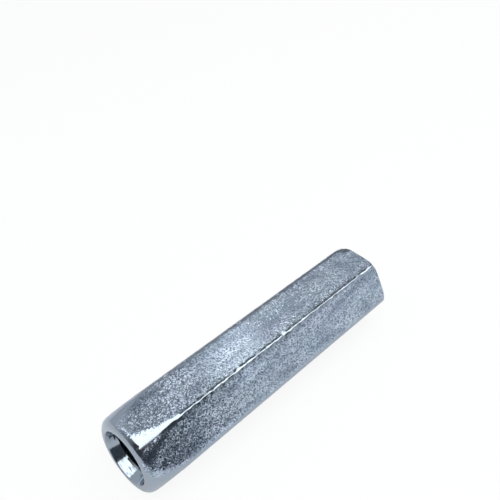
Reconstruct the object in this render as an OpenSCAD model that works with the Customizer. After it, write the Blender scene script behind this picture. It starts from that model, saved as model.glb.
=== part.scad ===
// Long hexagonal coupling nut, zinc-plated steel, lying on one of its flats.
// The bore runs along X, the well-rounded end is at -X, and the origin is under the middle, on the floor.

/* [Thread] */
// Nominal outside diameter of the thread
thread_d = 8; // [5:0.5:16]
// Distance from one thread crest to the next
thread_pitch = 1.25; // [0.8:0.05:2]

/* [Body] */
// Metal left between the thread and the middle of each flat
wall = 1.925; // [1.4:0.025:4]
// Length from end to end
length = 50; // [20:1:120]
// Radius worn on the six long edges
edge_r = 0.4; // [0.1:0.05:0.8]

/* [Mouths] */
// How much wider each mouth's plain recess is than the thread, on the diameter
mouth_extra = 0.47; // [0.1:0.01:1]
// Depth of the recess, down to where it narrows to the thread
recess_depth = 2.1; // [0.8:0.1:6]
// Full angle of the cone at the foot of the recess
foot_angle = 120; // [60:5:150]
// Radius of the lip where a recess meets the end
lip_r = 0.35; // [0.1:0.05:0.5]

/* [Round end] */
// Width of the flat ring between the lip and the shoulder
ring_w = 0.12; // [0.06:0.02:1]
// Radius of the shoulder round the end
shoulder_r = 1.2; // [0.4:0.1:1.6]
// Length over which the corners taper in to the shoulder
taper_len = 7.7; // [3:0.1:10]

/* [Plain end] */
// Width of the flat ring between the lip and the shoulder
plain_ring_w = 1.2; // [0.6:0.05:1.6]
// Radius of the shoulder round the end
plain_shoulder_r = 0.7; // [0.2:0.1:1]
// Length over which the corners taper in to the shoulder
plain_taper_len = 1.3; // [1.1:0.1:8]

/* [Hidden] */
$fn = 96;
zinc = [0.62, 0.67, 0.72];

// Depth of thread on one side is 5/8 of a sharp 60 degree triangle's height
thread_depth = 5 / 8 * thread_pitch * cos(30);
bore_r = thread_d / 2 - thread_depth;
across_flats = thread_d + 2 * wall;
corner_r = across_flats / 2 / cos(30);

mouth_r = (thread_d + mouth_extra) / 2;
// Depth at which the recess's cone meets the bore
foot_depth = recess_depth + (mouth_r - bore_r) / tan(foot_angle / 2);
// Radius at which the lip's round runs out on the end
lip_x = mouth_r + lip_r;

// A round is drawn this much over its size, so that it crosses the faces it blends and doesn't just touch them
over = 1.03;
// How far a cutter passes the metal that it cuts
past = 1;

// Section of the six-sided bar, with its corners rounded
module bar_outline() {
    round_x = (across_flats / 2 - edge_r) / cos(30);
    reach = corner_r + past - round_x;
    difference() {
        circle(corner_r, $fn = 6);
        for (turn = [0:60:300]) rotate(turn) translate([round_x, 0]) difference() {
            polygon([[0, 0], [reach, reach * tan(30)], [reach, -reach * tan(30)]]);
            circle(over * edge_r);
        }
    }
}

// Section of the turned form of one end: x is the radius and y the depth below the end.
// The shoulder's round runs on into a long, flatter arc that reaches the bar's corners at depth taper.
module end_section(ring, shoulder_wish, taper) {
    face_r = lip_x + ring;
    rise = corner_r - face_r;
    // A shoulder can't be rounder than the metal outside the ring
    shoulder = min(shoulder_wish, 0.9 * rise);
    taper_r = (rise^2 + (taper - shoulder)^2 - shoulder^2) / (2 * (rise - shoulder));
    slope = atan((taper - shoulder) / (taper_r - rise));
    intersection() {
        union() {
            translate([face_r, shoulder]) circle(over * shoulder);
            square([face_r, length + past]);
            translate([0, shoulder * (1 - sin(slope))]) square([corner_r + past, length]);
        }
        union() {
            translate([corner_r - taper_r, taper]) circle(taper_r);
            translate([0, taper]) square([corner_r + past, length]);
        }
        square([corner_r + past, length + past]);
    }
}

// Section of one mouth: the recess and its cone, and the lip's round left standing beside them
module mouth_section() {
    difference() {
        union() {
            translate([0, -past]) square([lip_x, lip_r + past]);
            polygon([[0, 0], [mouth_r, 0], [mouth_r, recess_depth], [bore_r, foot_depth], [0, foot_depth]]);
        }
        translate([lip_x, lip_r]) circle(over * lip_r);
    }
}

// One end's section turned about the bore, at either end of the nut
module at_round_end() {
    translate([0, 0, -length / 2]) rotate_extrude() children();
}

module at_plain_end() {
    mirror([0, 0, 1]) at_round_end() children();
}

module coupling_nut() {
    color(zinc) translate([0, 0, across_flats / 2]) rotate([0, 90, 0]) difference() {
        intersection() {
            linear_extrude(length, center = true) rotate(30) bar_outline();
            at_round_end() end_section(ring_w, shoulder_r, taper_len);
            at_plain_end() end_section(plain_ring_w, plain_shoulder_r, plain_taper_len);
        }
        cylinder(r = bore_r, h = length + 2 * past, center = true);
        at_round_end() mouth_section();
        at_plain_end() mouth_section();
    }
}

coupling_nut();
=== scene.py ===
import math
from functools import partial

import bpy
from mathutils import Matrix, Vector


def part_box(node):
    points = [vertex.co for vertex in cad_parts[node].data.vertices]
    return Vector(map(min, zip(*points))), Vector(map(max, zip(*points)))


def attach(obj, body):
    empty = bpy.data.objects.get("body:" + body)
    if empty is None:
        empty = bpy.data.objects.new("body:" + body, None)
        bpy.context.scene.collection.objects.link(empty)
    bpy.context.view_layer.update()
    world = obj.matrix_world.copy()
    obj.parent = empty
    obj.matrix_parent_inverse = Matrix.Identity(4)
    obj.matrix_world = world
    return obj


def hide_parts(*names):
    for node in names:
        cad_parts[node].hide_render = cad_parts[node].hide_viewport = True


mm = 0.001

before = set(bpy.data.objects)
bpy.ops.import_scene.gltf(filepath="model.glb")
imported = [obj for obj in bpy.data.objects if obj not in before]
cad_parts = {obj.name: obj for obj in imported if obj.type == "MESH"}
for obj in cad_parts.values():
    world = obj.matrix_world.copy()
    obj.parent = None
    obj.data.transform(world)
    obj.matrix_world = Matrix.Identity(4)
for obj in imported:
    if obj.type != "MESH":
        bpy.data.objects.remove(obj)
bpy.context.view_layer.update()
nutLow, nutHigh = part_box("coupling_nut")
print("frame loaded")


def linear(hexColour):
    # sRGB hex to the linear colour that sockets take
    parts = [int(hexColour[i:i + 2], 16) / 255 for i in (1, 3, 5)]
    return [c / 12.92 if c <= 0.04045 else ((c + 0.055) / 1.055) ** 2.4 for c in parts] + [1.0]


def addNode(tree, kind, links=(), **settings):
    # links holds numbers, sockets or nodes for the inputs, in order or by name
    node = tree.nodes.new(kind)
    for name, value in settings.items():
        setattr(node, name, value)
    for key, value in (links.items() if isinstance(links, dict) else enumerate(links)):
        if isinstance(value, bpy.types.Node):
            value = value.outputs[0]
        if isinstance(value, bpy.types.NodeSocket):
            tree.links.new(value, node.inputs[key])
        elif value is not None:
            node.inputs[key].default_value = value
    return node


# the steel nut, sizes in mm and angles in degrees; the length and the flats come from the frame
nut = {
    "length": (nutHigh.x - nutLow.x) / mm,
    "flats": (nutHigh.z - nutLow.z) / mm,
    "edgeRadius": 0.5,  # the six long edges
    "threadDiameter": 8.0,
    "pitch": 1.25,
    "threadStart": 0.5,  # turns that the thread is set on by
    "mouthDiameter": 8.6,  # where the mouth's wall would meet the end
    "mouthDepth": 1.6,  # the plain wall goes down this far, to the thread
    "mouthTilt": 18.0,  # the wall leans in towards the thread
    "lipRadius": 0.15,
    "roundEnd": {"faceRadius": 4.705, "shoulder": 1.2, "taper": 10.5},
    "plainEnd": {"faceRadius": 6.1, "shoulder": 0.5, "taper": 0.75},
    "leanAngle": 3.7,  # the round end isn't quite square to the bar
    "leanTowards": 32.0,  # the side that is cut back, round from the top
    "leanReach": 10.5,  # how far along the bar the lean dies out
    "blend": 0.1,  # softness where the flats run into the turned ends
    "grainMargin": 0.13,  # the flats are burnished this far in from their edges
    "grainReach": 0.12,  # the grain goes on where the turning took off less than this, per mm from the edge
    "raggedDepth": 0.25,  # how far the long edges wander
    "raggedSize": 0.7,
    "raggedWidth": 0.2,  # how far in on the flats this reaches
    "raggedFull": 0.05,  # they wander fully where the turning took off less than this
    "raggedGone": 0.28,  # and not at all where it took off this much
    "waveDepth": 0.012,  # the flats aren't dead flat
    "waveSize": 5.0,
    "creaseAngle": 40.0,  # edges sharper than this aren't smoothed
}

# knocks in the surface, mm
knocks = [
    {"at": (-23.86, -2.77, 11.17), "radius": 0.45, "depth": 0.12},
    {"at": (-22.05, -5.34, 8.52), "radius": 0.7, "depth": 0.12},
    {"at": (7.81, -3.76, 11.26), "radius": 0.5, "depth": 0.08},
    {"at": (2.88, -3.42, 11.80), "radius": 0.8, "depth": 0.14},
    {"at": (24.8, 3.4, 11.7), "radius": 2.0, "depth": 0.3},
]

# how the skin is divided: columns round the bar, rows along it
cuts = {
    "halfCorner": 4, "flat": 16,
    "wall": 6, "lip": 5, "ring": 3, "shoulder": 12, "taper": 26, "side": 74,
    "threadPart": 2,
    "touching": 0.001,  # mm, points closer than this are one
}


def endForm(end, lipCentre):
    # the turned end: a shoulder that runs on into a long arc up to the bar's corners
    rise = nut["flats"] / 2 / math.cos(math.radians(30)) - end["faceRadius"]
    run = end["taper"] - end["shoulder"]
    arc = (rise ** 2 + run ** 2 - end["shoulder"] ** 2) / (2 * (rise - end["shoulder"]))
    slope = math.atan(run / (arc - rise))
    return {
        "Ring": end["faceRadius"] - lipCentre,
        "Shoulder": end["shoulder"],
        "Shoulder Turn": math.pi / 2 - slope,
        "Taper Arc": arc,
        "Taper Slope": slope,
        "Straight": nut["length"] / 2 - end["taper"],
    }


def nutSizes():
    lean = math.tan(math.radians(nut["leanAngle"]))
    towards = math.radians(nut["leanTowards"])
    threadDepth = 5 / 8 * nut["pitch"] * math.cos(math.radians(30))  # 5/8 of the sharp triangle's height
    tilt = math.radians(nut["mouthTilt"])
    lipCentre = nut["mouthDiameter"] / 2 + nut["lipRadius"] * (1 - math.sin(tilt)) / math.cos(tilt)
    sizes = {
        "Half Flats": nut["flats"] / 2,
        "Edge Radius": nut["edgeRadius"],
        "Half Length": nut["length"] / 2,
        "Crest Radius": nut["threadDiameter"] / 2 - threadDepth,
        "Thread Depth": threadDepth,
        "Pitch": nut["pitch"],
        "Thread Start": nut["threadStart"],
        "Mouth Depth": nut["mouthDepth"],
        "Foot Radius": nut["mouthDiameter"] / 2 - nut["mouthDepth"] * math.tan(tilt),
        "Wall Tilt": tilt,
        "Wall Depth": nut["mouthDepth"] - nut["lipRadius"] * (1 - math.sin(tilt)),
        "Lip Radius": nut["lipRadius"],
        "Lip Centre": lipCentre,
        "Blend": nut["blend"],
        "Lean Up": lean * math.cos(towards),
        "Lean Across": -lean * math.sin(towards),
        "Lean Back": lean * nut["roundEnd"]["faceRadius"],
        "Lean Reach": nut["leanReach"],
        "Grain Margin": nut["grainMargin"],
        "Grain Reach": nut["grainReach"],
        "Ragged Depth": nut["raggedDepth"] * mm,
        "Ragged Scale": 1 / (nut["raggedSize"] * mm),
        "Ragged Width": nut["raggedWidth"],
        "Ragged Full": -nut["raggedFull"],
        "Ragged Gone": -nut["raggedGone"],
        "Wave Depth": nut["waveDepth"] * mm,
        "Wave Scale": 1 / (nut["waveSize"] * mm),
        "Crease": math.radians(nut["creaseAngle"]),
    }
    for name, end in (("Round", nut["roundEnd"]), ("Plain", nut["plainEnd"])):
        for part, value in endForm(end, lipCentre).items():
            sizes[name + " " + part] = value
    return sizes


def nutTree(sizes, material):
    tree = bpy.data.node_groups.new("nutForm", "GeometryNodeTree")
    tree.interface.new_socket(name="Geometry", in_out="OUTPUT", socket_type="NodeSocketGeometry")
    for name in sizes:
        tree.interface.new_socket(name=name, in_out="INPUT", socket_type="NodeSocketFloat")
    node = partial(addNode, tree)
    size = node("NodeGroupInput").outputs

    # a flat grid to begin with: x counts the columns from the middle, y the rows
    corner, flat = cuts["halfCorner"], cuts["flat"]
    perSide = flat + 2 * corner
    columns = 6 * perSide
    place = node("ShaderNodeSeparateXYZ", [node("GeometryNodeInputPosition")])
    column = node("ShaderNodeMath", (place.outputs["X"], columns / 2), operation="ADD")
    column = node("ShaderNodeMath", [column], operation="ROUND")
    side = node("ShaderNodeMath", (column, columns - 0.5), operation="MINIMUM")
    side = node("ShaderNodeMath", (side, perSide), operation="DIVIDE")
    side = node("ShaderNodeMath", [side], operation="FLOOR")
    along = node("ShaderNodeMath", (side, -perSide, column), operation="MULTIPLY_ADD")

    # the bar's outline: half a corner, a flat, half a corner, six times
    halfSixth = math.radians(30)  # half of the turn that one side takes
    firstBend = node("ShaderNodeMapRange", (along, 0, corner, -halfSixth, 0))
    lastBend = node("ShaderNodeMapRange", (along, corner + flat, perSide, 0, halfSixth))
    bend = node("ShaderNodeMath", (firstBend, lastBend), operation="ADD")
    bendSine = node("ShaderNodeMath", [bend], operation="SINE")
    bendCosine = node("ShaderNodeMath", [bend], operation="COSINE")
    core = node("ShaderNodeMath", (size["Half Flats"], size["Edge Radius"]), operation="SUBTRACT")
    flatHalf = node("ShaderNodeMath", (core, math.tan(halfSixth)), operation="MULTIPLY")
    flatPlace = node("ShaderNodeMapRange", (along, corner, corner + flat, -1, 1))
    across = node("ShaderNodeMath", (flatPlace, flatHalf), operation="MULTIPLY")
    across = node("ShaderNodeMath", (size["Edge Radius"], bendSine, across), operation="MULTIPLY_ADD")
    out = node("ShaderNodeMath", (size["Edge Radius"], bendCosine, core), operation="MULTIPLY_ADD")
    turn = node("ShaderNodeMath", (across, out), operation="ARCTAN2")
    turn = node("ShaderNodeMath", (side, 2 * halfSixth, turn), operation="MULTIPLY_ADD")
    outline = node("ShaderNodeCombineXYZ", (across, out))
    barRadius = node("ShaderNodeVectorMath", [outline], operation="LENGTH").outputs["Value"]

    # the turned ends, counted in rows from the foot of the mouth's wall
    stops = [0]
    for part in ("wall", "lip", "ring", "shoulder", "taper", "side"):
        stops.append(stops[-1] + cuts[part])
    halfRows = stops[-1]
    isRound = node("FunctionNodeCompare", (place.outputs["Y"], 0.0), operation="LESS_THAN")
    end = {}
    for part in ("Ring", "Shoulder", "Shoulder Turn", "Taper Arc", "Taper Slope", "Straight"):
        choices = (isRound, size["Plain " + part], size["Round " + part])
        end[part] = node("GeometryNodeSwitch", choices, input_type="FLOAT")
    row = node("ShaderNodeMath", [place.outputs["Y"]], operation="ABSOLUTE")
    row = node("ShaderNodeMath", (halfRows, row), operation="SUBTRACT")
    wallDown = node("ShaderNodeMapRange", (row, stops[0], stops[1], size["Wall Depth"], 0))
    lipTurn = node("ShaderNodeMapRange", (row, stops[1], stops[2], size["Wall Tilt"], math.pi / 2))
    ringWide = node("ShaderNodeMapRange", (row, stops[2], stops[3], 0, end["Ring"]))
    shoulderTurn = node("ShaderNodeMapRange", (row, stops[3], stops[4], 0, end["Shoulder Turn"]))
    taperTurn = node("ShaderNodeMapRange", (row, stops[4], stops[5], end["Taper Slope"], 0))
    straight = node("ShaderNodeMapRange", (row, stops[5], stops[6], 0, end["Straight"]))

    lipCosine = node("ShaderNodeMath", [lipTurn], operation="COSINE")
    lipSine = node("ShaderNodeMath", [lipTurn], operation="SINE")
    shoulderSine = node("ShaderNodeMath", [shoulderTurn], operation="SINE")
    shoulderCosine = node("ShaderNodeMath", [shoulderTurn], operation="COSINE")
    taperCosine = node("ShaderNodeMath", [taperTurn], operation="COSINE")
    taperSine = node("ShaderNodeMath", [taperTurn], operation="SINE")
    slopeCosine = node("ShaderNodeMath", [end["Taper Slope"]], operation="COSINE")
    slopeSine = node("ShaderNodeMath", [end["Taper Slope"]], operation="SINE")
    taperOut = node("ShaderNodeMath", (taperCosine, slopeCosine), operation="SUBTRACT")
    taperIn = node("ShaderNodeMath", (slopeSine, taperSine), operation="SUBTRACT")
    shoulderIn = node("ShaderNodeMath", (1, shoulderCosine), operation="SUBTRACT")
    lipIn = node("ShaderNodeMath", (1, lipSine), operation="SUBTRACT")

    wallIn = node("ShaderNodeMath", [size["Wall Tilt"]], operation="TANGENT")
    wallIn = node("ShaderNodeMath", (wallDown, wallIn), operation="MULTIPLY")
    turnedRadius = node("ShaderNodeMath", (size["Lip Radius"], lipCosine, wallIn), operation="MULTIPLY_ADD")
    turnedRadius = node("ShaderNodeMath", (size["Lip Centre"], turnedRadius), operation="SUBTRACT")
    turnedRadius = node("ShaderNodeMath", (turnedRadius, ringWide), operation="ADD")
    turnedRadius = node("ShaderNodeMath", (end["Shoulder"], shoulderSine, turnedRadius),
                        operation="MULTIPLY_ADD")
    turnedRadius = node("ShaderNodeMath", (end["Taper Arc"], taperOut, turnedRadius),
                        operation="MULTIPLY_ADD")
    depth = node("ShaderNodeMath", (wallDown, straight), operation="ADD")
    depth = node("ShaderNodeMath", (size["Lip Radius"], lipIn, depth), operation="MULTIPLY_ADD")
    depth = node("ShaderNodeMath", (end["Shoulder"], shoulderIn, depth), operation="MULTIPLY_ADD")
    depth = node("ShaderNodeMath", (end["Taper Arc"], taperIn, depth), operation="MULTIPLY_ADD")
    skinRadius = node("ShaderNodeMath", (turnedRadius, barRadius, size["Blend"]), operation="SMOOTH_MIN")
    fromMiddle = node("ShaderNodeMath", (size["Half Length"], depth), operation="SUBTRACT")
    endSign = node("ShaderNodeMath", [place.outputs["Y"]], operation="SIGN")
    skinX = node("ShaderNodeMath", (endSign, fromMiddle), operation="MULTIPLY")

    # how far inside the grain a place is: the flats have it, the long edges and the turned ends don't
    edgeRoom = node("ShaderNodeMath", [flatPlace], operation="ABSOLUTE")
    edgeRoom = node("ShaderNodeMath", (1, edgeRoom), operation="SUBTRACT")
    edgeRoom = node("ShaderNodeMath", (edgeRoom, flatHalf), operation="MULTIPLY")
    turnedRoom = node("ShaderNodeMath", (turnedRadius, barRadius), operation="SUBTRACT")
    grainRoom = node("ShaderNodeMath", (edgeRoom, size["Grain Margin"]), operation="SUBTRACT")
    underTurning = node("ShaderNodeMath", (edgeRoom, size["Grain Reach"], turnedRoom),
                        operation="MULTIPLY_ADD")
    grainRoom = node("ShaderNodeMath", (grainRoom, underTurning), operation="MINIMUM")
    awayFromEnd = node("ShaderNodeMapRange", (turnedRoom, size["Ragged Gone"], size["Ragged Full"], 0, 1))
    onEdge = node("ShaderNodeMapRange", (edgeRoom, 0, size["Ragged Width"], 1, 0))
    edge = node("ShaderNodeMath", (onEdge, awayFromEnd), operation="MULTIPLY")

    # the thread: rows follow the helix, and each turn is crest, flank, root and flank
    part = cuts["threadPart"]
    crestShare, flankShare, rootShare = 1 / 4, 5 / 16, 1 / 8  # of the pitch
    spareTurns = 2  # the helix begins and ends past the bar
    threadRows = (math.ceil(nut["length"] / nut["pitch"]) + spareTurns) * 4 * part
    threadRow = node("ShaderNodeMath", (place.outputs["Y"], threadRows / 2), operation="ADD")
    threadRow = node("ShaderNodeMath", [threadRow], operation="ROUND")
    wholeTurn = node("ShaderNodeMath", (threadRow, 4 * part), operation="DIVIDE")
    wholeTurn = node("ShaderNodeMath", [wholeTurn], operation="FLOOR")
    step = node("ShaderNodeMath", (wholeTurn, -4 * part, threadRow), operation="MULTIPLY_ADD")
    crestRun = node("ShaderNodeMapRange", (step, 0, part, 0, crestShare))
    outFlank = node("ShaderNodeMapRange", (step, part, 2 * part, 0, 1))
    rootRun = node("ShaderNodeMapRange", (step, 2 * part, 3 * part, 0, rootShare))
    backFlank = node("ShaderNodeMapRange", (step, 3 * part, 4 * part, 0, 1))
    climb = node("ShaderNodeMath", (turn, 1 / (2 * math.pi), wholeTurn), operation="MULTIPLY_ADD")
    climb = node("ShaderNodeMath", (climb, crestRun), operation="ADD")
    climb = node("ShaderNodeMath", (outFlank, flankShare, climb), operation="MULTIPLY_ADD")
    climb = node("ShaderNodeMath", (climb, rootRun), operation="ADD")
    climb = node("ShaderNodeMath", (backFlank, flankShare, climb), operation="MULTIPLY_ADD")
    climb = node("ShaderNodeMath", (climb, size["Thread Start"]), operation="ADD")
    climb = node("ShaderNodeMath", (climb, spareTurns), operation="SUBTRACT")
    rooted = node("ShaderNodeMath", (outFlank, backFlank), operation="SUBTRACT")
    threadRadius = node("ShaderNodeMath", (size["Thread Depth"], rooted, size["Crest Radius"]),
                        operation="MULTIPLY_ADD")
    boreEnd = node("ShaderNodeMath", (size["Half Length"], size["Mouth Depth"]), operation="SUBTRACT")
    boreStart = node("ShaderNodeMath", (boreEnd, -1), operation="MULTIPLY")
    boreX = node("ShaderNodeMath", (climb, size["Pitch"]), operation="MULTIPLY")
    boreX = node("ShaderNodeMath", (boreX, size["Half Length"]), operation="SUBTRACT")
    boreX = node("ShaderNodeMath", (boreX, boreEnd), operation="MINIMUM")
    boreX = node("ShaderNodeMath", (boreX, boreStart), operation="MAXIMUM")
    fromFoot = node("ShaderNodeMath", [boreX], operation="ABSOLUTE")
    fromFoot = node("ShaderNodeMath", (boreEnd, fromFoot), operation="SUBTRACT")
    isThread = node("FunctionNodeCompare", (fromFoot, cuts["touching"]), operation="GREATER_THAN")
    boreRadius = node("GeometryNodeSwitch", (isThread, size["Foot Radius"], threadRadius),
                      input_type="FLOAT")

    # both grids are wrapped round the bore's axis, with the round end's lean, and come out in metres
    turnCosine = node("ShaderNodeMath", [turn], operation="COSINE")
    turnSine = node("ShaderNodeMath", [turn], operation="SINE")
    skins = []
    for rows, radius, x, marks in (
        (2 * halfRows, skinRadius, skinX, {"grainRoom": grainRoom, "edge": edge}),
        (threadRows, boreRadius, boreX, {"grainRoom": -1.0}),
    ):
        skin = node("GeometryNodeMeshGrid", (columns, rows, columns + 1, rows + 1))
        for name, mark in marks.items():
            skin = node("GeometryNodeStoreNamedAttribute", {"Geometry": skin, "Name": name, "Value": mark})
        up = node("ShaderNodeMath", (radius, turnCosine), operation="MULTIPLY")
        sideways = node("ShaderNodeMath", (radius, turnSine), operation="MULTIPLY")
        lean = node("ShaderNodeMath", (up, size["Lean Up"]), operation="MULTIPLY")
        lean = node("ShaderNodeMath", (sideways, size["Lean Across"], lean), operation="MULTIPLY_ADD")
        lean = node("ShaderNodeMath", (lean, size["Lean Back"]), operation="ADD")
        fromRound = node("ShaderNodeMath", (x, size["Half Length"]), operation="ADD")
        fade = node("ShaderNodeMapRange", (fromRound, 0, size["Lean Reach"], 1, 0))
        leantX = node("ShaderNodeMath", (lean, fade, x), operation="MULTIPLY_ADD")
        height = node("ShaderNodeMath", (up, size["Half Flats"]), operation="ADD")
        point = node("ShaderNodeCombineXYZ", (leantX, sideways, height))
        point = node("ShaderNodeVectorMath", {0: point, "Scale": mm}, operation="SCALE")
        skins.append(node("GeometryNodeSetPosition", {"Geometry": skin, "Position": point}))
    outside = node("GeometryNodeFlipFaces", [skins[0]])
    whole = node("GeometryNodeJoinGeometry", [outside])
    tree.links.new(skins[1].outputs[0], whole.inputs[0])
    whole = node("GeometryNodeMergeByDistance", {"Geometry": whole, "Distance": cuts["touching"] * mm})

    # wandering edges and slight waves, inwards along the normal, and the knocks, towards the bore's axis
    noiseTop = 0.8  # the noise hardly goes above this, so what it moves goes inwards
    spot = node("GeometryNodeInputPosition")
    edgeMark = node("GeometryNodeInputNamedAttribute", ["edge"])
    ragged = node("ShaderNodeTexNoise", {"Vector": spot, "Scale": size["Ragged Scale"], "Detail": 2.0})
    ragged = node("ShaderNodeMath", (ragged, noiseTop), operation="SUBTRACT")
    ragged = node("ShaderNodeMath", (ragged, edgeMark), operation="MULTIPLY")
    push = node("ShaderNodeMath", (ragged, size["Ragged Depth"]), operation="MULTIPLY")
    wave = node("ShaderNodeTexNoise", {"Vector": spot, "Scale": size["Wave Scale"], "Detail": 1.0})
    wave = node("ShaderNodeMath", (wave, noiseTop), operation="SUBTRACT")
    push = node("ShaderNodeMath", (wave, size["Wave Depth"], push), operation="MULTIPLY_ADD")
    normal = node("GeometryNodeInputNormal")
    shift = node("ShaderNodeVectorMath", {0: normal, "Scale": push}, operation="SCALE")
    outward = node("ShaderNodeVectorMath", (spot, (0, 1, 1)), operation="MULTIPLY")
    outward = node("ShaderNodeVectorMath", (outward, (0, 0, nut["flats"] / 2 * mm)), operation="SUBTRACT")
    outward = node("ShaderNodeVectorMath", [outward], operation="NORMALIZE")
    for knock in knocks:
        centre = [v * mm for v in knock["at"]]
        reach = node("ShaderNodeVectorMath", (spot, centre), operation="DISTANCE").outputs["Value"]
        dent = node("ShaderNodeMapRange", (reach, 0, knock["radius"] * mm, -knock["depth"] * mm, 0),
                    interpolation_type="SMOOTHSTEP")
        shift = node("ShaderNodeVectorMath", (outward, dent, shift), operation="MULTIPLY_ADD")
    worn = node("GeometryNodeSetPosition", {"Geometry": whole, "Offset": shift})

    smooth = node("GeometryNodeSetShadeSmooth", {"Geometry": worn, "Shade Smooth": True})
    edgeAngle = node("GeometryNodeInputMeshEdgeAngle")
    sharp = node("FunctionNodeCompare", (edgeAngle, size["Crease"]), operation="GREATER_THAN")
    creases = {"Geometry": smooth, "Selection": sharp, "Shade Smooth": False}
    creased = node("GeometryNodeSetShadeSmooth", creases, domain="EDGE")
    real = node("GeometryNodeRealizeInstances", [creased])
    dressed = node("GeometryNodeSetMaterial", {"Geometry": real, "Material": material})
    node("NodeGroupOutput", [dressed])
    return tree


def plainPiece(name, tree, sizes):
    # runs the tree on an empty object and keeps the result as a plain mesh at the origin
    carrier = bpy.data.objects.new(name + "_carrier", bpy.data.meshes.new(name + "_carrier"))
    bpy.context.scene.collection.objects.link(carrier)
    modifier = carrier.modifiers.new("form", "NODES")
    modifier.node_group = tree
    for item in tree.interface.items_tree:
        if item.in_out == "INPUT":
            modifier[item.identifier] = float(sizes[item.name])
    graph = bpy.context.evaluated_depsgraph_get()
    result = bpy.data.meshes.new_from_object(carrier.evaluated_get(graph), depsgraph=graph)
    bpy.data.objects.remove(carrier)
    result.name = name
    piece = bpy.data.objects.new(name, result)
    bpy.context.scene.collection.objects.link(piece)
    return piece


# blue-white zinc plate on drawn steel bar: a bright grey metal with a blue cast,
# a sparkling grain on the flats and burnished edges and ends
zinc = {
    "dark": "#717f8f",
    "light": "#c1cddb",
    "burnished": "#9da7b2",
    "grainRoughness": 0.24,
    "burnishedRoughness": 0.14,
    "facetSize": 0.155,  # mm, as coarse as the pixels need to show it
    "facetTilt": 0.2,  # how far the crystals lean, to the normal's length of 1
    "lineSize": 0.25,  # mm between turning lines, as coarse as the pixels need
    "lineLength": 1.7,  # mm
    "lineTilt": 0.42,  # how far they lean, in the same way
    "drawn": 3,  # clouds and tints are this many times longer along the bar
    "cloudSize": 1.6,  # mm across the bar
    "cloud": 0.6,  # how far the clouds take the grain's contrast up and down
    "tintSize": 2.5,  # mm across the bar
    "tint": 0.1,  # how strong the tints are
    "wander": 0.4,  # mm, how far the grain's border wanders
    "wanderSize": 0.5,  # mm, from bend to bend of the border
    "wanderFade": 0.16,  # mm, how soft the border is
    "highlightPaintAt": (-4.5, 0.5, 11.8),  # mm, the middle of a painted highlight that brightens the top's colour
    "highlightPaintRadius": 6.5,  # mm
    "highlightPaint": 0.4,  # how much the painted highlight brightens the colour
}

# where the round shoulder is as rough as the flats, and how far that brings the grain's border out; mm
scuffs = [
    {"at": (-22.7, -4.7, 9.9), "radius": 4.2, "growth": 0.9},
    {"at": (-23.8, 1.5, 11.5), "radius": 4.0, "growth": 0.35},
]


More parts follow.
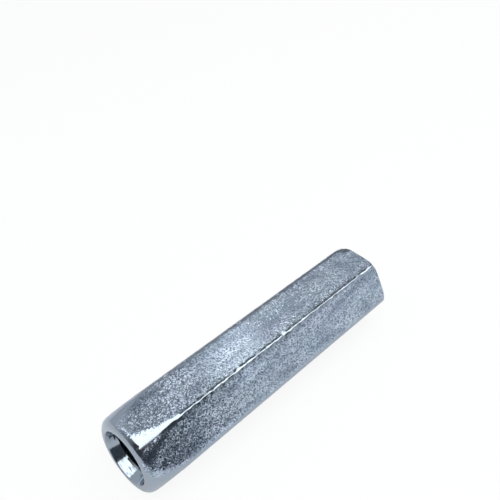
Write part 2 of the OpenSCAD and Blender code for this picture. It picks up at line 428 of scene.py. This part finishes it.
def zincMaterial():
    material = bpy.data.materials.new("zincPlatedSteel")
    material.use_nodes = True
    tree = material.node_tree
    node = partial(addNode, tree)
    shader = tree.nodes["Principled BSDF"]
    shader.inputs["Metallic"].default_value = 1.0
    spot = node("ShaderNodeTexCoord").outputs["Object"]
    # the grain's border wanders
    wanderScale = 1 / (zinc["wanderSize"] * mm)
    wander = node("ShaderNodeTexNoise", {"Vector": spot, "Scale": wanderScale, "Detail": 2.0})
    grainRoom = node("ShaderNodeAttribute", attribute_name="grainRoom").outputs["Fac"]
    grainRoom = node("ShaderNodeMath", (wander, zinc["wander"], grainRoom), operation="MULTIPLY_ADD")
    for scuff in scuffs:
        centre = [v * mm for v in scuff["at"]]
        reach = node("ShaderNodeVectorMath", (spot, centre), operation="DISTANCE").outputs["Value"]
        grown = node("ShaderNodeMapRange", (reach, 0, scuff["radius"] * mm, scuff["growth"], 0))
        grainRoom = node("ShaderNodeMath", (grainRoom, grown), operation="ADD")
    start = zinc["wander"] / 2
    grainMark = node("ShaderNodeMapRange", (grainRoom, start, start + zinc["wanderFade"], 0, 1)).outputs[0]
    # crystals of the plate: each leans its own way and is a little darker or lighter
    facetScale = 1 / (zinc["facetSize"] * mm)
    crystal = node("ShaderNodeTexVoronoi", {"Vector": spot, "Scale": facetScale}).outputs["Color"]
    lean = node("ShaderNodeVectorMath", (crystal, (0.5, 0.5, 0.5)), operation="SUBTRACT")
    tilt = node("ShaderNodeMath", (grainMark, zinc["facetTilt"]), operation="MULTIPLY")
    lean = node("ShaderNodeVectorMath", {0: lean, "Scale": tilt}, operation="SCALE")
    # fine turning lines round the bore, where there is no grain
    stretch = zinc["lineSize"] / zinc["lineLength"]
    turned = node("ShaderNodeVectorMath", (spot, (1, stretch, stretch)), operation="MULTIPLY")
    lineScale = 1 / (zinc["lineSize"] * mm)
    lines = node("ShaderNodeTexNoise", {"Vector": turned, "Scale": lineScale, "Detail": 2.0})
    lines = node("ShaderNodeMath", (lines, 0.5), operation="SUBTRACT")
    plainness = node("ShaderNodeMapRange", (grainMark, 0, 1, zinc["lineTilt"], 0))
    lines = node("ShaderNodeMath", (lines, plainness), operation="MULTIPLY")
    lean = node("ShaderNodeVectorMath", (lean, node("ShaderNodeCombineXYZ", [lines])), operation="ADD")
    normal = node("ShaderNodeNewGeometry").outputs["Normal"]
    lean = node("ShaderNodeVectorMath", (lean, normal), operation="ADD")
    facing = node("ShaderNodeVectorMath", [lean], operation="NORMALIZE")
    tree.links.new(facing.outputs[0], shader.inputs["Normal"])
    # the grain's colour, with clouds drawn out along the bar, and a painted highlight on the top
    noiseLow, noiseHigh = 0.3, 0.7  # nearly all the noise lies between these
    drawn = node("ShaderNodeVectorMath", (spot, (1 / zinc["drawn"], 1, 1)), operation="MULTIPLY")
    cloudScale = 1 / (zinc["cloudSize"] * mm)
    cloud = node("ShaderNodeTexNoise", {"Vector": drawn, "Scale": cloudScale, "Detail": 2.0})
    speckle = node("ShaderNodeSeparateXYZ", [crystal]).outputs["X"]
    cloud = node("ShaderNodeMapRange", (cloud, noiseLow, noiseHigh, 1 - zinc["cloud"], 1 + zinc["cloud"]))
    speckle = node("ShaderNodeMath", (speckle, cloud), operation="MULTIPLY")
    shades = {"Factor": speckle, "A": linear(zinc["dark"]), "B": linear(zinc["light"])}
    grainColour = node("ShaderNodeMix", shades, data_type="RGBA")
    # painted highlight: the grain's colour is made brighter in a round patch on the top flat
    fromHighlightPaint = node("ShaderNodeVectorMath", (spot, [v * mm for v in zinc["highlightPaintAt"]]), operation="DISTANCE")
    highlightPaintReach = zinc["highlightPaintRadius"] * mm
    highlightPaint = node("ShaderNodeMapRange", (fromHighlightPaint.outputs["Value"], highlightPaintReach / 2, highlightPaintReach, 1 + zinc["highlightPaint"], 1))
    highlightPainted = node("ShaderNodeVectorMath", {0: grainColour.outputs["Result"], "Scale": highlightPaint},
                  operation="SCALE")
    colour = node("ShaderNodeMix", {"Factor": grainMark, "A": linear(zinc["burnished"])}, data_type="RGBA")
    tree.links.new(highlightPainted.outputs[0], colour.inputs["B"])
    # faint warm and cool patches in the plate
    tintScale = 1 / (zinc["tintSize"] * mm)
    tint = node("ShaderNodeTexNoise", {"Vector": drawn, "Scale": tintScale}).outputs["Color"]
    tint = node("ShaderNodeVectorMath", (tint, (0.5, 0.5, 0.5)), operation="SUBTRACT")
    tint = node("ShaderNodeVectorMath", {0: tint, "Scale": zinc["tint"]}, operation="SCALE")
    tint = node("ShaderNodeVectorMath", (tint, (1, 1, 1)), operation="ADD")
    tinted = node("ShaderNodeVectorMath", (colour.outputs["Result"], tint), operation="MULTIPLY")
    tree.links.new(tinted.outputs[0], shader.inputs["Base Color"])
    roughnesses = (grainMark, 0, 1, zinc["burnishedRoughness"], zinc["grainRoughness"])
    rough = node("ShaderNodeMapRange", roughnesses)
    tree.links.new(rough.outputs[0], shader.inputs["Roughness"])
    return material


sizes = nutSizes()
piece = plainPiece("coupling_nut_skin", nutTree(sizes, zincMaterial()), sizes)
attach(piece, "root")
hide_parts("coupling_nut")
print("nut made:", len(piece.data.polygons), "faces")

# white paper floor, mm
floorPlan = {
    "reach": 600,
    "colour": "#f2f4f6",
    "roughness": 0.9,
    "gloss": 0.2,
    "shadow": 0.1,  # the camera sees this part of the floor's own shading, and white for the rest
    "mirrorShadow": 0.8,  # the same for mirror rays
}


def floorMaterial():
    # matt paper: nearly white to the camera, with enough of its own shading to keep the shadow
    material = bpy.data.materials.new("paperFloor")
    material.use_nodes = True
    tree = material.node_tree
    node = partial(addNode, tree)
    shader = tree.nodes["Principled BSDF"]
    shader.inputs["Base Color"].default_value = linear(floorPlan["colour"])
    shader.inputs["Roughness"].default_value = floorPlan["roughness"]
    shader.inputs["Specular IOR Level"].default_value = floorPlan["gloss"]
    glow = node("ShaderNodeEmission", {"Color": (1, 1, 1, 1), "Strength": 1.0})
    path = node("ShaderNodeLightPath").outputs
    seen = node("ShaderNodeMath", (path["Is Camera Ray"], path["Is Transmission Ray"]), operation="MAXIMUM")
    seen = node("ShaderNodeMath", (seen, 1 - floorPlan["shadow"]), operation="MULTIPLY")
    seen = node("ShaderNodeMath", (path["Is Glossy Ray"], 1 - floorPlan["mirrorShadow"], seen),
                operation="MULTIPLY_ADD")
    mixed = node("ShaderNodeMixShader", (seen, shader, glow))
    tree.links.new(mixed.outputs[0], tree.nodes["Material Output"].inputs["Surface"])
    return material


def addSheet(name, corners, material):
    # a flat sheet between four corners, mm
    mesh = bpy.data.meshes.new(name)
    mesh.from_pydata([[v * mm for v in corner] for corner in corners], [], [(0, 1, 2, 3)])
    mesh.materials.append(material)
    sheet = bpy.data.objects.new(name, mesh)
    bpy.context.scene.collection.objects.link(sheet)
    return sheet


reach = floorPlan["reach"]
floorCorners = [(-reach, -reach, 0), (reach, -reach, 0), (reach, reach, 0), (-reach, reach, 0)]
floor = addSheet("floor", floorCorners, floorMaterial())
print("floor laid")

# soft studio: a large softbox overhead and three smaller ones, pale walls that are darker or brighter
# in places, and a dark card in front of the nut that only mirror rays see; mm
softboxes = [
    {"name": "overhead", "centre": (57, -85, 300), "size": (545, 230), "brightness": 2.6},
    {"name": "behind", "centre": (118, 140, 250), "size": (80, 100), "brightness": 1.5},
    {"name": "corner", "centre": (225, 140, 250), "size": (50, 60), "brightness": 3.2},
    {"name": "end", "centre": (-178, 135, 300), "size": (80, 250), "brightness": 2.6},
]
walls = {"plain": 0.42, "dark": 0.085, "colour": "#eef2f8"}
# where the walls and the ceiling are darker or brighter: how nearly a ray points there, from first to full
darkSides = [
    {"towards": (-0.35, -0.94, 0.0), "first": 0.1, "full": 0.5},
    {"towards": (0.8, 0.6, 0.0), "first": 0.85, "full": 1.1},
    {"towards": (0.45, 0.12, 0.885), "first": 0.945, "full": 0.985},
]
brightSides = [
    {"towards": (0.75, -0.66, 0.0), "first": 0.75, "full": 1.0, "added": 1.05},
    {"towards": (-0.3, 0.9, 0.3), "first": 0.6, "full": 0.95, "added": 0.42},
]
card = {"x": (-160, 2), "y": -54, "z": (0, 48), "colour": "#50575e", "roughness": 1.0}


def hangSoftboxes():
    for box in softboxes:
        panel = bpy.data.lights.new(box["name"], "AREA")
        panel.shape = "RECTANGLE"
        panel.size = box["size"][0] * mm
        panel.size_y = box["size"][1] * mm
        panel.energy = box["brightness"] * math.pi * panel.size * panel.size_y
        lamp = bpy.data.objects.new(box["name"], panel)
        lamp.location = [v * mm for v in box["centre"]]
        bpy.context.scene.collection.objects.link(lamp)


def standCard():
    felt = bpy.data.materials.new("darkFelt")
    felt.use_nodes = True
    shader = felt.node_tree.nodes["Principled BSDF"]
    shader.inputs["Base Color"].default_value = linear(card["colour"])
    shader.inputs["Roughness"].default_value = card["roughness"]
    left, right = card["x"]
    low, high = card["z"]
    corners = [(x, card["y"], z) for x, z in ((left, low), (right, low), (right, high), (left, high))]
    flag = addSheet("flag", corners, felt)
    flag.visible_camera = False
    flag.visible_diffuse = False
    flag.visible_shadow = False


def paintWalls():
    world = bpy.data.worlds.new("studio")
    bpy.context.scene.world = world
    world.use_nodes = True
    tree = world.node_tree
    node = partial(addNode, tree)
    towards = node("ShaderNodeTexCoord").outputs["Generated"]
    tone = walls["plain"]
    for side in darkSides:
        near = node("ShaderNodeVectorMath", (towards, side["towards"]), operation="DOT_PRODUCT")
        near = near.outputs["Value"]
        tones = (near, side["first"], side["full"], walls["plain"], walls["dark"])
        shade = node("ShaderNodeMapRange", tones)
        tone = node("ShaderNodeMath", (tone, shade), operation="MINIMUM")
    for side in brightSides:
        near = node("ShaderNodeVectorMath", (towards, side["towards"]), operation="DOT_PRODUCT")
        near = near.outputs["Value"]
        shine = node("ShaderNodeMapRange", (near, side["first"], side["full"], 0, side["added"]))
        tone = node("ShaderNodeMath", (tone, shine), operation="ADD")
    glow = tree.nodes["Background"]
    glow.inputs["Color"].default_value = linear(walls["colour"])
    tree.links.new(tone.outputs[0], glow.inputs["Strength"])
    # the camera itself sees plain white past the floor
    plain = node("ShaderNodeBackground", {"Color": (1, 1, 1, 1), "Strength": 1.0})
    shown = node("ShaderNodeMixShader", (node("ShaderNodeLightPath").outputs["Is Camera Ray"], glow, plain))
    tree.links.new(shown.outputs[0], tree.nodes["World Output"].inputs["Surface"])


hangSoftboxes()
standCard()
paintWalls()
print("studio lit")

# the camera: mm, degrees, and pixels of the square frame
view = {
    "spot": (-41.91, -42.26, 81.17),
    "pitch": 40.22,
    "heading": 44.11,
    "focal": 600.1,
    "centre": (250.4, 235.6),
    "frame": 500,
    "sensor": 36.0,
}
lens = bpy.data.cameras.new("lens")
lens.sensor_width = view["sensor"]
lens.lens = view["focal"] / view["frame"] * view["sensor"]
lens.shift_x = 0.5 - view["centre"][0] / view["frame"]
lens.shift_y = view["centre"][1] / view["frame"] - 0.5
lens.clip_start = 1 * mm
camera = bpy.data.objects.new("camera", lens)
camera.location = [v * mm for v in view["spot"]]
camera.rotation_euler = (math.radians(90 - view["pitch"]), 0, math.radians(-view["heading"]))
bpy.context.scene.collection.objects.link(camera)
bpy.context.scene.camera = camera
bpy.context.scene.view_settings.view_transform = "Standard"
print("camera set")
